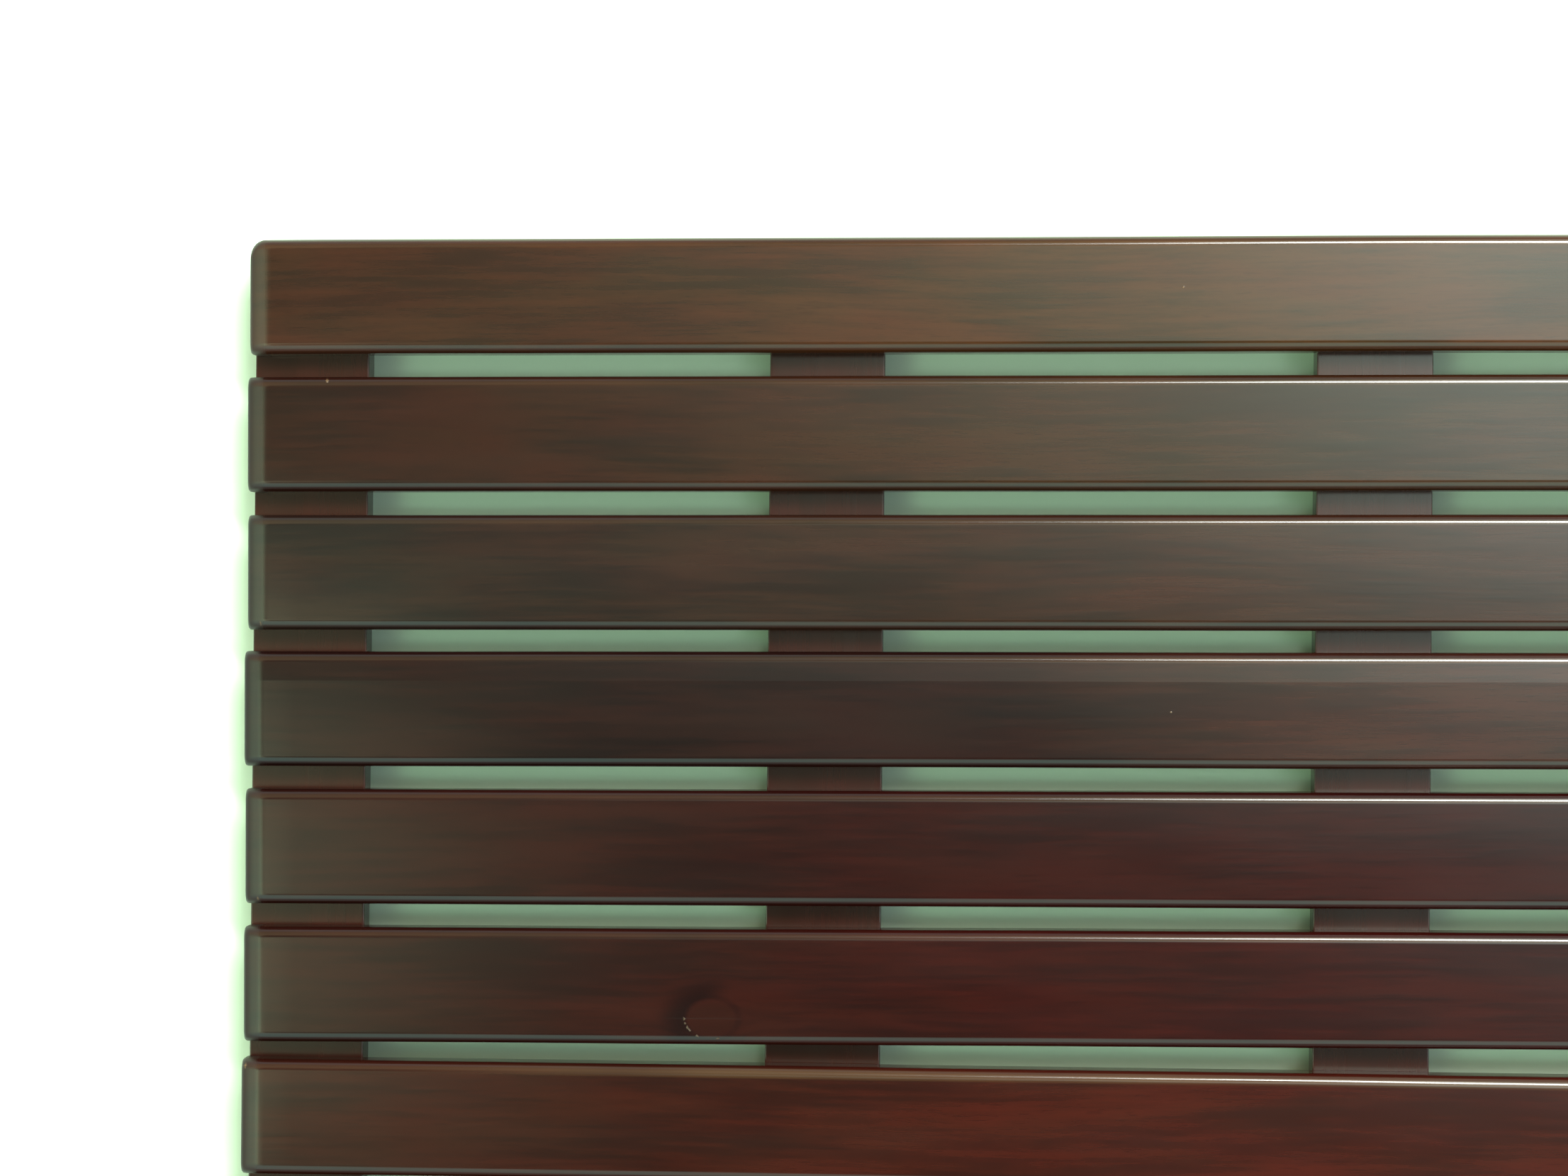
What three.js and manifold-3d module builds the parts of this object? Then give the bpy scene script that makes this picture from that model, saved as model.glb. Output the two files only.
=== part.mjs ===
// A slatted wooden bath mat (a duckboard) in three.js. Units are millimetres and +Z is up.
//
// Long slats lie side by side along X with a drain gap between each two. Battens cross under them along Y, and one
// countersunk screw goes up through a batten into the slat at every crossing. Round rubber feet are screwed under
// the battens. The origin is on the floor, at the middle of the mat.

import * as THREE from 'three';
import { mergeVertices } from 'three/addons/utils/BufferGeometryUtils.js';
import Module from 'manifold-3d';

const wasm = await Module();
wasm.setup();

// ---------------------------------------------------------------------------------------------------------------
// Sizes

// Slats: the boards that are stood on.
const slatCount = 8;
const slatLength = 600;
const slatWidth = 40.5;
const slatThickness = 12;
const slatGap = 8;
const slatEdgeRadius = 3.5;         // along both top edges
const slatUndersideRadius = 1;      // along both bottom edges
const slatEndRun = 5;               // how far the worn-over top of each end reaches along the slat
const slatEndDrop = 3;              // and how far down the end
const slatEndArris = 0.8;           // small radius at the bottom of each end
const slatCornerRadius = 1;         // each slat corner, seen from above
const matCornerRadius = 5.5;        // the mat's four outer corners, seen from above

// Battens: the cross pieces under the slats.
const battenWidth = 40.5;
const battenThickness = 12;
const battenEdgeRadius = 1;
const battenCornerRadius = 2;       // seen from above
const battenEndInset = 3;           // batten end, in from the outer slat's outer edge
const battenSideInset = 0.5;        // outer batten's side, in from the slat ends
const battenMiddleSpacing = 192;    // between the centres of the two middle battens

// Countersunk screws that hold the slats.
const slatScrew = {
  shankRadius: 1.75,
  headRadius: 3.3,
  headHeight: 1.9,
  headRim: 0.3,                     // straight edge of the head, below its cone
  socketRadius: 1.5,
  socketDepth: 1.1,
  pointLength: 3,
};
const slatScrewSink = 0.6;          // head below the batten's underside
const slatScrewCover = 3.5;         // wood left between the screw's point and the slat's top

// Rubber feet and the screws that hold them.
const footRadius = 9;
const footHeight = 3.5;
const footEdge = 0.8;               // slope around the rim that meets the floor
const footSeat = 0.9;               // rubber between the screw's head cone and the batten
const footScrew = {
  shankRadius: 1.5,
  headRadius: 2.8,
  headHeight: 1.5,
  headRim: 0.25,
  socketRadius: 1.3,
  socketDepth: 0.9,
  pointLength: 2.5,
};
const footScrewCover = 2.5;         // wood left between the screw's point and the batten's top

// Clearances, all as real gaps between the solids.
const shankClearance = 0.3;         // around a screw's shank, in wood and in rubber
const headClearance = 0.3;          // around a screw's head, in its countersink
const pointClearance = 0.6;         // past a screw's point, in its blind hole

// Fineness of the curves.
const arcSteps = 2;                 // a quarter turn gets twice this many edges
const screwSides = 8;
const footSides = 20;

// ---------------------------------------------------------------------------------------------------------------
// Places that follow from the sizes

const slatPitch = slatWidth + slatGap;
const matWidth = slatCount * slatPitch - slatGap;
const battenLength = matWidth - 2 * battenEndInset;

const battenUnderside = footHeight;
const slatUnderside = battenUnderside + battenThickness;

const slatPlaces = Array.from({ length: slatCount }, (_, i) => ((slatCount - 1) / 2 - i) * slatPitch);
const outerBatten = slatLength / 2 - battenSideInset - battenWidth / 2;
const innerBatten = battenMiddleSpacing / 2;
const battenPlaces = [-outerBatten, -innerBatten, innerBatten, outerBatten];

// A foot sits under the gap between the outermost two slats, midway between their screws.
const footPlace = slatPlaces[0] - slatPitch / 2;

const slatScrewLength = battenThickness - slatScrewSink + slatThickness - slatScrewCover;
const footScrewSink = footHeight - footSeat - footScrew.headHeight;
const footScrewLength = footHeight - footScrewSink + battenThickness - footScrewCover;

// ---------------------------------------------------------------------------------------------------------------
// From geometry to solids and back

function solidOf(geometry) {
  geometry.deleteAttribute('normal');
  geometry.deleteAttribute('uv');
  const joined = mergeVertices(geometry, 1e-4);
  const corners = Array.from(joined.index.array);
  const triangles = [];
  for (let i = 0; i < corners.length; i += 3) {
    const [a, b, c] = corners.slice(i, i + 3);
    if (a !== b && b !== c && c !== a) triangles.push(a, b, c);
  }
  const mesh = new wasm.Mesh({
    numProp: 3,
    vertProperties: joined.attributes.position.array,
    triVerts: Uint32Array.from(triangles),
  });
  return new wasm.Manifold(mesh);
}

function geometryOf(solid) {
  const mesh = solid.getMesh();
  const geometry = new THREE.BufferGeometry();
  geometry.setAttribute('position', new THREE.BufferAttribute(mesh.vertProperties, 3));
  geometry.setIndex(new THREE.BufferAttribute(mesh.triVerts, 1));
  geometry.computeVertexNormals();
  return geometry;
}

// ---------------------------------------------------------------------------------------------------------------
// Outlines. Each is a rectangle centred on x = 0, with an elliptical round at each corner.

function roundedOutline(width, low, high, lowRound, highRound) {
  const half = width / 2;
  const outline = new THREE.Shape();
  const quarter = Math.PI / 2;
  const [lowRun, lowRise] = lowRound;
  const [highRun, highDrop] = highRound;
  outline.absellipse(half - lowRun, low + lowRise, lowRun, lowRise, -quarter, 0, false, 0);
  outline.absellipse(half - highRun, high - highDrop, highRun, highDrop, 0, quarter, false, 0);
  outline.absellipse(-half + highRun, high - highDrop, highRun, highDrop, quarter, 2 * quarter, false, 0);
  outline.absellipse(-half + lowRun, low + lowRise, lowRun, lowRise, 2 * quarter, 3 * quarter, false, 0);
  outline.closePath();
  return outline;
}

// A bar: what a section along its length, a side view and a plan all agree on.
function bar(length, section, side, plan, height) {
  const settings = { bevelEnabled: false, curveSegments: arcSteps };
  const alongX = new THREE.Vector3(1, 0, 0);
  const alongY = new THREE.Vector3(0, 1, 0);
  const alongZ = new THREE.Vector3(0, 0, 1);
  const reach = length + 2;

  const sectionGeometry = new THREE.ExtrudeGeometry(section, { ...settings, depth: reach });
  sectionGeometry.translate(0, 0, -reach / 2);
  sectionGeometry.applyMatrix4(new THREE.Matrix4().makeBasis(alongY, alongZ, alongX));

  const sideGeometry = new THREE.ExtrudeGeometry(side, { ...settings, depth: reach });
  sideGeometry.translate(0, 0, -reach / 2);
  sideGeometry.applyMatrix4(new THREE.Matrix4().makeBasis(alongX, alongZ, alongY.clone().negate()));

  const planGeometry = new THREE.ExtrudeGeometry(plan, { ...settings, depth: height + 2 });
  planGeometry.translate(0, 0, -1);

  return solidOf(sectionGeometry).intersect(solidOf(sideGeometry)).intersect(solidOf(planGeometry));
}

// ---------------------------------------------------------------------------------------------------------------
// Turned shapes. A profile runs from the axis at the bottom to the axis at the top.

function turned(profile, sides) {
  const points = profile.map(([radius, height]) => new THREE.Vector2(radius, height));
  const geometry = new THREE.LatheGeometry(points, sides);
  geometry.rotateX(Math.PI / 2);
  return solidOf(geometry);
}

// A countersunk screw, point up, with the head's face at z = 0 and a conical drive socket in it.
function screwSolid(screw, length) {
  return turned([
    [0, screw.socketDepth],
    [screw.socketRadius, 0],
    [screw.headRadius, 0],
    [screw.headRadius, screw.headRim],
    [screw.shankRadius, screw.headHeight],
    [screw.shankRadius, length - screw.pointLength],
    [0, length],
  ], screwSides);
}

// The room that a screw's head and shank need, cut from a face at z = 0 with the head sunk below it.
function countersink(screw, sink, depth) {
  const widest = screw.headRadius + headClearance;
  const narrow = screw.shankRadius + shankClearance;
  return turned([
    [0, -1],
    [widest, -1],
    [widest, sink + screw.headRim],
    [narrow, sink + screw.headHeight],
    [narrow, depth],
    [0, depth],
  ], screwSides);
}

// A blind hole for a screw's shank and point, cut from a face at z = 0.
function pilotHole(screw, depth) {
  const wall = screw.shankRadius + shankClearance;
  const full = depth - screw.pointLength;
  return turned([
    [0, -1],
    [wall, -1],
    [wall, full],
    [wall / 2, depth + pointClearance],
    [0, depth + pointClearance],
  ], screwSides);
}

// ---------------------------------------------------------------------------------------------------------------
// The pieces, each with its underside at z = 0

// A slat, centred on x = 0 and y = 0. An outer slat has the mat's round corners on its +Y side.
function slatSolid(isOuter) {
  const farRadius = isOuter ? matCornerRadius : slatCornerRadius;
  const section = roundedOutline(slatWidth, 0, slatThickness,
    [slatUndersideRadius, slatUndersideRadius], [slatEdgeRadius, slatEdgeRadius]);
  const side = roundedOutline(slatLength, 0, slatThickness,
    [slatEndArris, slatEndArris], [slatEndRun, slatEndDrop]);
  const plan = roundedOutline(slatLength, -slatWidth / 2, slatWidth / 2,
    [slatCornerRadius, slatCornerRadius], [farRadius, farRadius]);
  let solid = bar(slatLength, section, side, plan, slatThickness);
  const hole = pilotHole(slatScrew, slatThickness - slatScrewCover);
  for (const x of battenPlaces) solid = solid.subtract(hole.translate([x, 0, 0]));
  return solid;
}

// A batten, made along X, with its screw holes cut from below. It is turned to lie along Y when placed.
function battenSolid() {
  const edge = [battenEdgeRadius, battenEdgeRadius];
  const corner = [battenCornerRadius, battenCornerRadius];
  const section = roundedOutline(battenWidth, 0, battenThickness, edge, edge);
  const side = roundedOutline(battenLength, 0, battenThickness, edge, edge);
  const plan = roundedOutline(battenLength, -battenWidth / 2, battenWidth / 2, corner, corner);
  let solid = bar(battenLength, section, side, plan, battenThickness);
  const slatHole = countersink(slatScrew, slatScrewSink, battenThickness + 1);
  for (const y of slatPlaces) solid = solid.subtract(slatHole.translate([y, 0, 0]));
  const footHole = pilotHole(footScrew, battenThickness - footScrewCover);
  for (const y of [-footPlace, footPlace]) solid = solid.subtract(footHole.translate([y, 0, 0]));
  return solid;
}

function footSolid() {
  const disc = turned([
    [0, 0],
    [footRadius - footEdge, 0],
    [footRadius, footEdge],
    [footRadius, footHeight],
    [0, footHeight],
  ], footSides);
  return disc.subtract(countersink(footScrew, footScrewSink, footHeight + 1));
}

// ---------------------------------------------------------------------------------------------------------------
// Finishes

const woodFinish = { color: 0x42302a, roughness: 0.35, metalness: 0 };
const battenFinish = { color: 0x38261f, roughness: 0.45, metalness: 0 };
const steelFinish = { color: 0xb4b4b0, roughness: 0.35, metalness: 1 };
const rubberFinish = { color: 0x2b2b2c, roughness: 0.85, metalness: 0 };

function piece(name, geometry, finish) {
  const mesh = new THREE.Mesh(geometry, new THREE.MeshStandardMaterial(finish));
  mesh.name = name;
  return mesh;
}

// ---------------------------------------------------------------------------------------------------------------
// The mat

const mat = new THREE.Group();
const quarterTurn = Math.PI / 2;

const innerSlat = geometryOf(slatSolid(false));
const outerSlat = geometryOf(slatSolid(true));
slatPlaces.forEach((y, i) => {
  const isOuter = i === 0 || i === slatCount - 1;
  const slat = piece(`slat_${i + 1}`, isOuter ? outerSlat : innerSlat, woodFinish);
  slat.position.set(0, y, slatUnderside);
  slat.rotation.z = i === slatCount - 1 ? 2 * quarterTurn : 0;
  mat.add(slat);
});

const battenGeometry = geometryOf(battenSolid());
const slatScrewGeometry = geometryOf(screwSolid(slatScrew, slatScrewLength));
const footGeometry = geometryOf(footSolid());
const footScrewGeometry = geometryOf(screwSolid(footScrew, footScrewLength));

// Everything fixed to one batten shares its group.
battenPlaces.forEach((x, b) => {
  const across = new THREE.Group();
  across.position.x = x;

  const batten = piece(`batten_${b + 1}`, battenGeometry, battenFinish);
  batten.position.z = battenUnderside;
  batten.rotation.z = quarterTurn;
  across.add(batten);

  slatPlaces.forEach((y, i) => {
    const screw = piece(`slat_screw_${b + 1}_${i + 1}`, slatScrewGeometry, steelFinish);
    screw.position.set(0, y, battenUnderside + slatScrewSink);
    across.add(screw);
  });

  for (const [side, y] of [['back', footPlace], ['front', -footPlace]]) {
    const foot = piece(`foot_${b + 1}_${side}`, footGeometry, rubberFinish);
    foot.position.y = y;
    const screw = piece(`foot_screw_${b + 1}_${side}`, footScrewGeometry, steelFinish);
    screw.position.set(0, y, footScrewSink);
    across.add(foot, screw);
  }

  mat.add(across);
});

export default mat;
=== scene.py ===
# %% [markdown]
# # A slatted wooden bath mat
# A duckboard is a small raft of boards. Slats lie side by side with drain gaps between them, battens cross
# under them, and screws go up through the battens, so nothing shows on top but wood. This lesson loads the
# finished design as a fixed frame and gives every piece the shape and the finish of the real one.

# %% Load the frame
import math

import bpy
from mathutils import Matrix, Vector


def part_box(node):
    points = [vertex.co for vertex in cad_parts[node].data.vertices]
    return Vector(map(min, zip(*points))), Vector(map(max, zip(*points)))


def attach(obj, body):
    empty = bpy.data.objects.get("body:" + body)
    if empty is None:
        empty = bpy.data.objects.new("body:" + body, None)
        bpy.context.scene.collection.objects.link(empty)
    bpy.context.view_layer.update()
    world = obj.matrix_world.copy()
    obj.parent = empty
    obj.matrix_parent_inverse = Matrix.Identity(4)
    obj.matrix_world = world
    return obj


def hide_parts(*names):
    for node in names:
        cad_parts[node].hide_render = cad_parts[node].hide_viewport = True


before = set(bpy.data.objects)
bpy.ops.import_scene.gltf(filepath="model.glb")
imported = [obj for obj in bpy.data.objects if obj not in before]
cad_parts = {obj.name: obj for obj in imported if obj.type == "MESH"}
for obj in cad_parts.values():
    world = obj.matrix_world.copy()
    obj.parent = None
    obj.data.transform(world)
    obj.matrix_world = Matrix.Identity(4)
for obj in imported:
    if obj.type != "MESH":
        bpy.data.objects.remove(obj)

bpy.context.view_layer.update()

# %% [markdown]
# ## Sizes
# The design already says how big each piece is, so every size here is read from its boxes.

# %% Sizes read from the frame
MM = 0.001
SLATS = 8
BATTENS = 4
SIDES = ("back", "front")


def low_high(node):
    """A piece's lowest and highest corners as vectors."""
    low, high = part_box(node)
    return Vector(low), Vector(high)


def middle(node):
    low, high = low_high(node)
    return (low + high) / 2


slat_low, slat_high = low_high("slat_1")
slat_length, slat_width, slat_thickness = slat_high - slat_low
batten_low, batten_high = low_high("batten_1")
batten_width, batten_length, batten_thickness = batten_high - batten_low
foot_low, foot_high = low_high("foot_1_back")
foot_height = foot_high.z - foot_low.z
slat_underside = slat_low.z
batten_underside = batten_low.z
mat_top = slat_high.z
slat_pitch = middle("slat_1").y - middle("slat_2").y
outer_spacing = middle("batten_4").x - middle("batten_1").x
inner_spacing = middle("batten_3").x - middle("batten_2").x
foot_spacing = middle("foot_1_back").y - middle("foot_1_front").y
print(f"slat {slat_length:.3f} x {slat_width:.4f} x {slat_thickness:.3f} m, top at {mat_top:.4f} m")

# %% [markdown]
# ### Edges and ends
# How round an edge is, a box cannot tell. Feet have worn the slats' top edges and ends, nobody steps on the
# battens, and the mat's own four corners are what gets knocked.

# %% Sizes of the fine shapes
slat_edge_radius = 3.5 * MM
slat_underside_radius = 1.0 * MM
slat_end_run, slat_end_drop = 8.5 * MM, 3.0 * MM
slat_end_arris = 0.8 * MM
slat_corner_radius = 1.0 * MM
mat_corner_radius = 5.5 * MM
batten_edge_radius = 1.0 * MM
batten_top_radius = 0.4 * MM
batten_corner_radius = 2.0 * MM
print("edges rounded at", slat_edge_radius, "m on the slats and", batten_top_radius, "m on the battens")

# %% [markdown]
# ## Writing node trees as sums
# Maths is far easier to read as an expression than as nodes. One small class wraps a socket and adds the
# right Math or Vector Math node whenever two of them are added or multiplied.

# %% A socket that can be written in sums
class Wire:
    """An output socket. Sums on it add maths nodes to its tree."""

    def __init__(self, tree, socket):
        self.tree = tree
        self.socket = socket

    def out(self, name):
        """Another output of the same node."""
        return Wire(self.tree, self.socket.node.outputs[name])

    def is_vector(self):
        return self.socket.type in ("VECTOR", "RGBA")

    def maths(self, operation, *others):
        vector = self.is_vector() or any(isinstance(o, Wire) and o.is_vector() for o in others)
        kind = "ShaderNodeVectorMath" if vector else "ShaderNodeMath"
        node = self.tree.nodes.new(kind)
        node.operation = operation
        for socket, value in zip(node.inputs, (self, *others)):
            if vector and isinstance(value, (int, float)):
                value = (value, value, value)
            join(self.tree, socket, value)
        return Wire(self.tree, node.outputs["Value" if not vector or operation == "LENGTH" else "Vector"])

    def __add__(self, other):
        return self.maths("ADD", other)

    def __radd__(self, other):
        return self.maths("ADD", other)

    def __sub__(self, other):
        return self.maths("SUBTRACT", other)

    def __rsub__(self, other):
        return self * -1.0 + other

    def __mul__(self, other):
        return self.maths("MULTIPLY", other)

    def __rmul__(self, other):
        return self.maths("MULTIPLY", other)

    def __truediv__(self, other):
        return self.maths("DIVIDE", other)

    def above(self, other):
        """1 where this is greater, otherwise 0."""
        return self.maths("GREATER_THAN", other)

    def clamped(self):
        limited = self.maths("MULTIPLY", 1.0)
        limited.socket.node.use_clamp = True
        return limited


def join(tree, socket, value):
    """Links a wire to an input socket, or sets the socket's own value."""
    if isinstance(value, Wire):
        tree.links.new(value.socket, socket)
    else:
        socket.default_value = value


def add(tree, kind, settings=None, output=0, **inputs):
    """Adds a node: its settings first, then its inputs by name, with _ for a space or by number as in_0."""
    node = tree.nodes.new(kind)
    for name, value in (settings or {}).items():
        setattr(node, name, value)
    for name, value in inputs.items():
        key = int(name[3:]) if name.startswith("in_") else name.replace("_", " ")
        join(tree, node.inputs[key], value)
    return Wire(tree, node.outputs[output])


def position(tree):
    return add(tree, "GeometryNodeInputPosition")


def combine(tree, x=0.0, y=0.0, z=0.0):
    return add(tree, "ShaderNodeCombineXYZ", X=x, Y=y, Z=z)


def separate(wire):
    parts = add(wire.tree, "ShaderNodeSeparateXYZ", Vector=wire)
    return parts, parts.out("Y"), parts.out("Z")


def ramp(wire, low, high, to_low=0.0, to_high=1.0):
    """A smooth step from to_low to to_high as the wire goes from low to high."""
    return add(wire.tree, "ShaderNodeMapRange", {"interpolation_type": "SMOOTHSTEP"},
               in_0=wire, in_1=low, in_2=high, in_3=to_low, in_4=to_high)


def fade(wire, low, high, level=1.0):
    """A smooth fall from a level to nothing as the wire goes from low to high."""
    return ramp(wire, low, high, level, 0.0)


def blend(share, first, second):
    """The first where the share is 0, the second where it is 1."""
    return first * (1.0 - share) + second * share


def noise(tree, vector, scale, detail=2.0, roughness=0.5):
    return add(tree, "ShaderNodeTexNoise",
               Vector=vector, Scale=scale, Detail=detail, Roughness=roughness)


print("node helpers ready")

# %% [markdown]
# ## A tree for every board
# Slats and battens are the same thing at different sizes: a bar with rounded long edges, worn ends, and
# holes from below. One Geometry Nodes tree makes them all, and what differs between them is its named
# inputs.

# %% Inputs of the board tree
def tree_with_inputs(name, inputs):
    """A geometry tree with named inputs, and a wire for each of them."""
    tree = bpy.data.node_groups.new(name, "GeometryNodeTree")
    tree.interface.new_socket("Geometry", in_out="OUTPUT", socket_type="NodeSocketGeometry")
    kinds = {float: "NodeSocketFloat", int: "NodeSocketInt", tuple: "NodeSocketVector"}
    for label, value in inputs.items():
        kind = "NodeSocketMaterial" if value is None else kinds[type(value)]
        socket = tree.interface.new_socket(label, in_out="INPUT", socket_type=kind)
        if value is not None:
            socket.default_value = value
    entry = tree.nodes.new("NodeGroupInput")
    return tree, {label: Wire(tree, entry.outputs[label]) for label in inputs}


def finish_tree(tree, size, geometry, turn=(0.0, 0.0, 0.0)):
    """Ends a tree with its piece turned, put in its place, realized and given its material."""
    placed = add(tree, "GeometryNodeTransform", Geometry=geometry,
                 Translation=size["Place"], Rotation=turn)
    real = add(tree, "GeometryNodeRealizeInstances", Geometry=placed)
    made = add(tree, "GeometryNodeSetMaterial", Geometry=real, Material=size["Material"])
    tree.links.new(made.socket, tree.nodes.new("NodeGroupOutput").inputs[0])


NOWHERE = (10.0, 10.0, 0.0)
BOARD_INPUTS = {
    "Length": 0.6, "Width": 0.04, "Thickness": 0.012,
    "Top radius": 0.002, "Bottom radius": 0.001,
    "End run": 0.005, "End drop": 0.003, "End arris": 0.0008,
    "Corner back": 0.001, "Corner front": 0.001,
    "Body rings": 60,
    "Bow": 0.0, "Crown": 0.0, "Waviness": 0.0, "Sway": 0.0,
    "Screw count": 8, "Screw spacing": 0.05, "Screw radius": 0.002, "Screw depth": 0.01,
    "Screw mouth radius": 0.002, "Screw mouth depth": 0.0,
    "Pilot count": 2, "Pilot spacing": 0.3, "Pilot radius": 0.002, "Pilot depth": 0.01,
    "Pilot mouth radius": 0.002, "Pilot mouth depth": 0.0,
    "Knot": NOWHERE, "Chip": NOWHERE, "Nick": NOWHERE, "Planed": NOWHERE[0], "Rubbed": 0.0,
    "Left stain": (0.02, 0.005, 0.004), "Right stain": (0.02, 0.005, 0.004), "Blend start": -0.5,
    "Seed": 0.0, "Turn": 0.0, "Place": (0.0, 0.0, 0.0), "Material": None,
}
CAP_RINGS = 3
END_RINGS = 9
ARC_STEPS = 7
FLAT_CUTS = 11
ROUND_MARGIN = 0.3 * MM
MERGE_BOARD = 0.002 * MM
print(len(BOARD_INPUTS), "inputs on the board tree")

# %% [markdown]
# ### The section
# Sawn across, a board is a rectangle with rounded corners, rounder above than below. The section is one
# closed curve, rounded by Fillet Curve.

# %% The section around a board
def section_curve(tree, size):
    """A closed curve around the board's section: x runs across the board and y up from its underside."""
    width, thickness = size["Width"], size["Thickness"]
    rectangle = add(tree, "GeometryNodeCurvePrimitiveQuadrilateral", Width=width, Height=thickness)
    cut = add(tree, "GeometryNodeSubdivideCurve", Curve=rectangle, Cuts=FLAT_CUTS)
    x, y, _ = separate(position(tree))

    # Points on a flat crowd towards its ends, so that shading turns only in the rounds.
    radius = size["Top radius"]
    nearly_half = 0.4999
    on_side = x.maths("ABSOLUTE").above(width * nearly_half)
    on_face = y.maths("ABSOLUTE").above(thickness * nearly_half)
    share_x = (x / (width * 0.5) * (FLAT_CUTS + 1) / (FLAT_CUTS - 1) * (math.pi / 2)).maths("SINE")
    share_y = (y / (thickness * 0.5) * (FLAT_CUTS + 1) / (FLAT_CUTS - 1) * (math.pi / 2)).maths("SINE")
    spread_x = share_x * (width * 0.5 - radius - ROUND_MARGIN)
    spread_y = share_y * (thickness * 0.5 - radius - ROUND_MARGIN)
    place = combine(tree, blend(on_side, spread_x, x), blend(on_face, spread_y, y))
    crowded = add(tree, "GeometryNodeSetPosition", Geometry=cut, Position=place)

    _, height, _ = separate(position(tree))
    corner = blend(height.above(0.0), size["Bottom radius"], radius)
    rounded = add(tree, "GeometryNodeFilletCurve", {"mode": "POLY"},
                  Curve=crowded, Count=ARC_STEPS, Radius=corner, Limit_Radius=True)
    raise_by = combine(tree, 0.0, thickness * 0.5)
    return add(tree, "GeometryNodeTransform", Geometry=rounded, Translation=raise_by)

# %% [markdown]
# ### The rings
# A grid of points is bent into the board, and each row of it is one ring around the board. Near an end the
# rings follow a quarter of an ellipse down, and the last few close up into a flat cap.

# %% Rings along a board
def ring_places(tree, size, ring, last):
    """For a ring: its place along the board, its distance from the nearer end, and how open its cap is."""
    mirrored = ring.maths("MINIMUM", last - ring)
    side = ring.above(last * 0.5) * 2.0 - 1.0
    cap = (mirrored / CAP_RINGS).clamped()
    turn = ((mirrored - CAP_RINGS) / END_RINGS).clamped() * (math.pi / 2)
    body = (mirrored - (CAP_RINGS + END_RINGS)).maths("MAXIMUM", 0.0)
    step = (size["Length"] * 0.5 - size["End run"]) / (last * 0.5 - (CAP_RINGS + END_RINGS))
    distance = size["End run"] * (1.0 - turn.maths("COSINE")) + body * step
    along = side * (size["Length"] * 0.5 - distance)
    return along, distance, cap


def fall_off(distance, run, drop):
    """How far a surface has dropped at a distance from an end, on an ellipse of this run and drop."""
    short = (1.0 - distance / run).maths("MAXIMUM", 0.0)
    return drop * (1.0 - (1.0 - short * short).maths("SQRT"))


def board_mesh(tree, size):
    """The straight board as a closed mesh, centred on x and y, with its underside at z = 0."""
    section = section_curve(tree, size)
    around = add(tree, "GeometryNodeAttributeDomainSize", {"component": "CURVE"}, Geometry=section)
    rings = size["Body rings"] + (2 * (CAP_RINGS + END_RINGS) + 1)
    grid = add(tree, "GeometryNodeMeshGrid", Vertices_X=rings, Vertices_Y=around + 1)

    index = add(tree, "GeometryNodeInputIndex")
    ring = (index / (around + 1)).maths("FLOOR")
    turn = index - ring * (around + 1)
    point = turn - around * turn.above(around - 0.5)
    sampled = add(tree, "GeometryNodeSampleIndex", {"data_type": "FLOAT_VECTOR", "domain": "POINT"},
                  Geometry=section, Value=position(tree), Index=point)
    across, height, _ = separate(sampled)

    along, distance, cap = ring_places(tree, size, ring, rings - 1)
    at_front = (across * -1.0).above(0.0)
    half = size["Width"] * 0.5
    inset_back = fall_off(distance, size["Corner back"], size["Corner back"])
    inset_front = fall_off(distance, size["Corner front"], size["Corner front"])
    inset = blend(at_front, inset_back, inset_front)
    drop = fall_off(distance, size["End run"], size["End drop"])
    rise = fall_off(distance, size["End arris"], size["End arris"])
    thickness = size["Thickness"]
    y = across * (1.0 - inset / half)
    z = rise + height * (thickness - drop - rise) / thickness
    cap_middle = rise + (thickness - drop - rise) * 0.5
    place = combine(tree, along, y * cap, cap_middle + (z - cap_middle) * cap)
    shaped = add(tree, "GeometryNodeSetPosition", Geometry=grid, Position=place)
    return add(tree, "GeometryNodeMergeByDistance", Geometry=shaped, Distance=MERGE_BOARD)


print("board tree parts ready")

# %% [markdown]
# ## Holes from below
# Every board has screw holes in its underside, opened out where a screw head sits. A cutter is repeated
# along the row and a boolean takes it away, which leaves real holes in a closed solid.

# %% Holes cut from below
HOLE_SIDES = 20
HOLE_MARGIN = 1.0 * MM
HOLE_OVERLAP = 0.01 * MM


def cone(tree, low, high, low_radius, high_radius):
    """A closed cone or cylinder between two heights."""
    made = add(tree, "GeometryNodeMeshCone", {"fill_type": "NGON"}, Vertices=HOLE_SIDES,
               Radius_Bottom=low_radius, Radius_Top=high_radius, Depth=high - low)
    return add(tree, "GeometryNodeTransform", Geometry=made, Translation=combine(tree, 0.0, 0.0, low))


def cut(tree, body, cutter):
    node = tree.nodes.new("GeometryNodeMeshBoolean")
    node.operation = "DIFFERENCE"
    node.solver = "MANIFOLD"
    join(tree, node.inputs["Mesh 1"], body)
    join(tree, node.inputs["Mesh 2"], cutter)
    return Wire(tree, node.outputs["Mesh"])


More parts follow.
